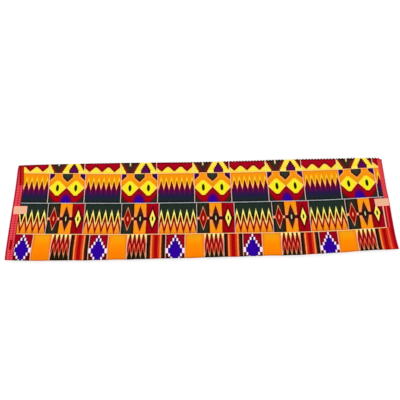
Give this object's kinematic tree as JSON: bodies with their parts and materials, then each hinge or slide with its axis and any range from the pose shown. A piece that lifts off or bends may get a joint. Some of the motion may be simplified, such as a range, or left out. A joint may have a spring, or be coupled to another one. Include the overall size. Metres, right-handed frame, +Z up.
{
  "type": "folded ankara cloth",
  "caption": "Length of wax-print style cotton cloth folded back and forth into a long, flat, slightly uneven packet, with a blank label at each selvedge.",
  "frame": {"origin": "on the ground under the middle of the folded packet's outline", "axes": "+X along the cloth's width from the left selvedge to the right one, +Y from the front folds to the back edge, +Z up through the layers"},
  "size_m": [1.1844, 0.3176, 0.0115],
  "materials": {
    "printed_cotton": "plain-woven cotton with a bright strip-weave style print, soft low sheen",
    "label_paper": "blank matt peach paper label"
  },
  "bodies": {
    "root": {"folded_cloth": "printed_cotton", "label_left": "label_paper", "label_right": "label_paper"}
  },
  "joints": []
}
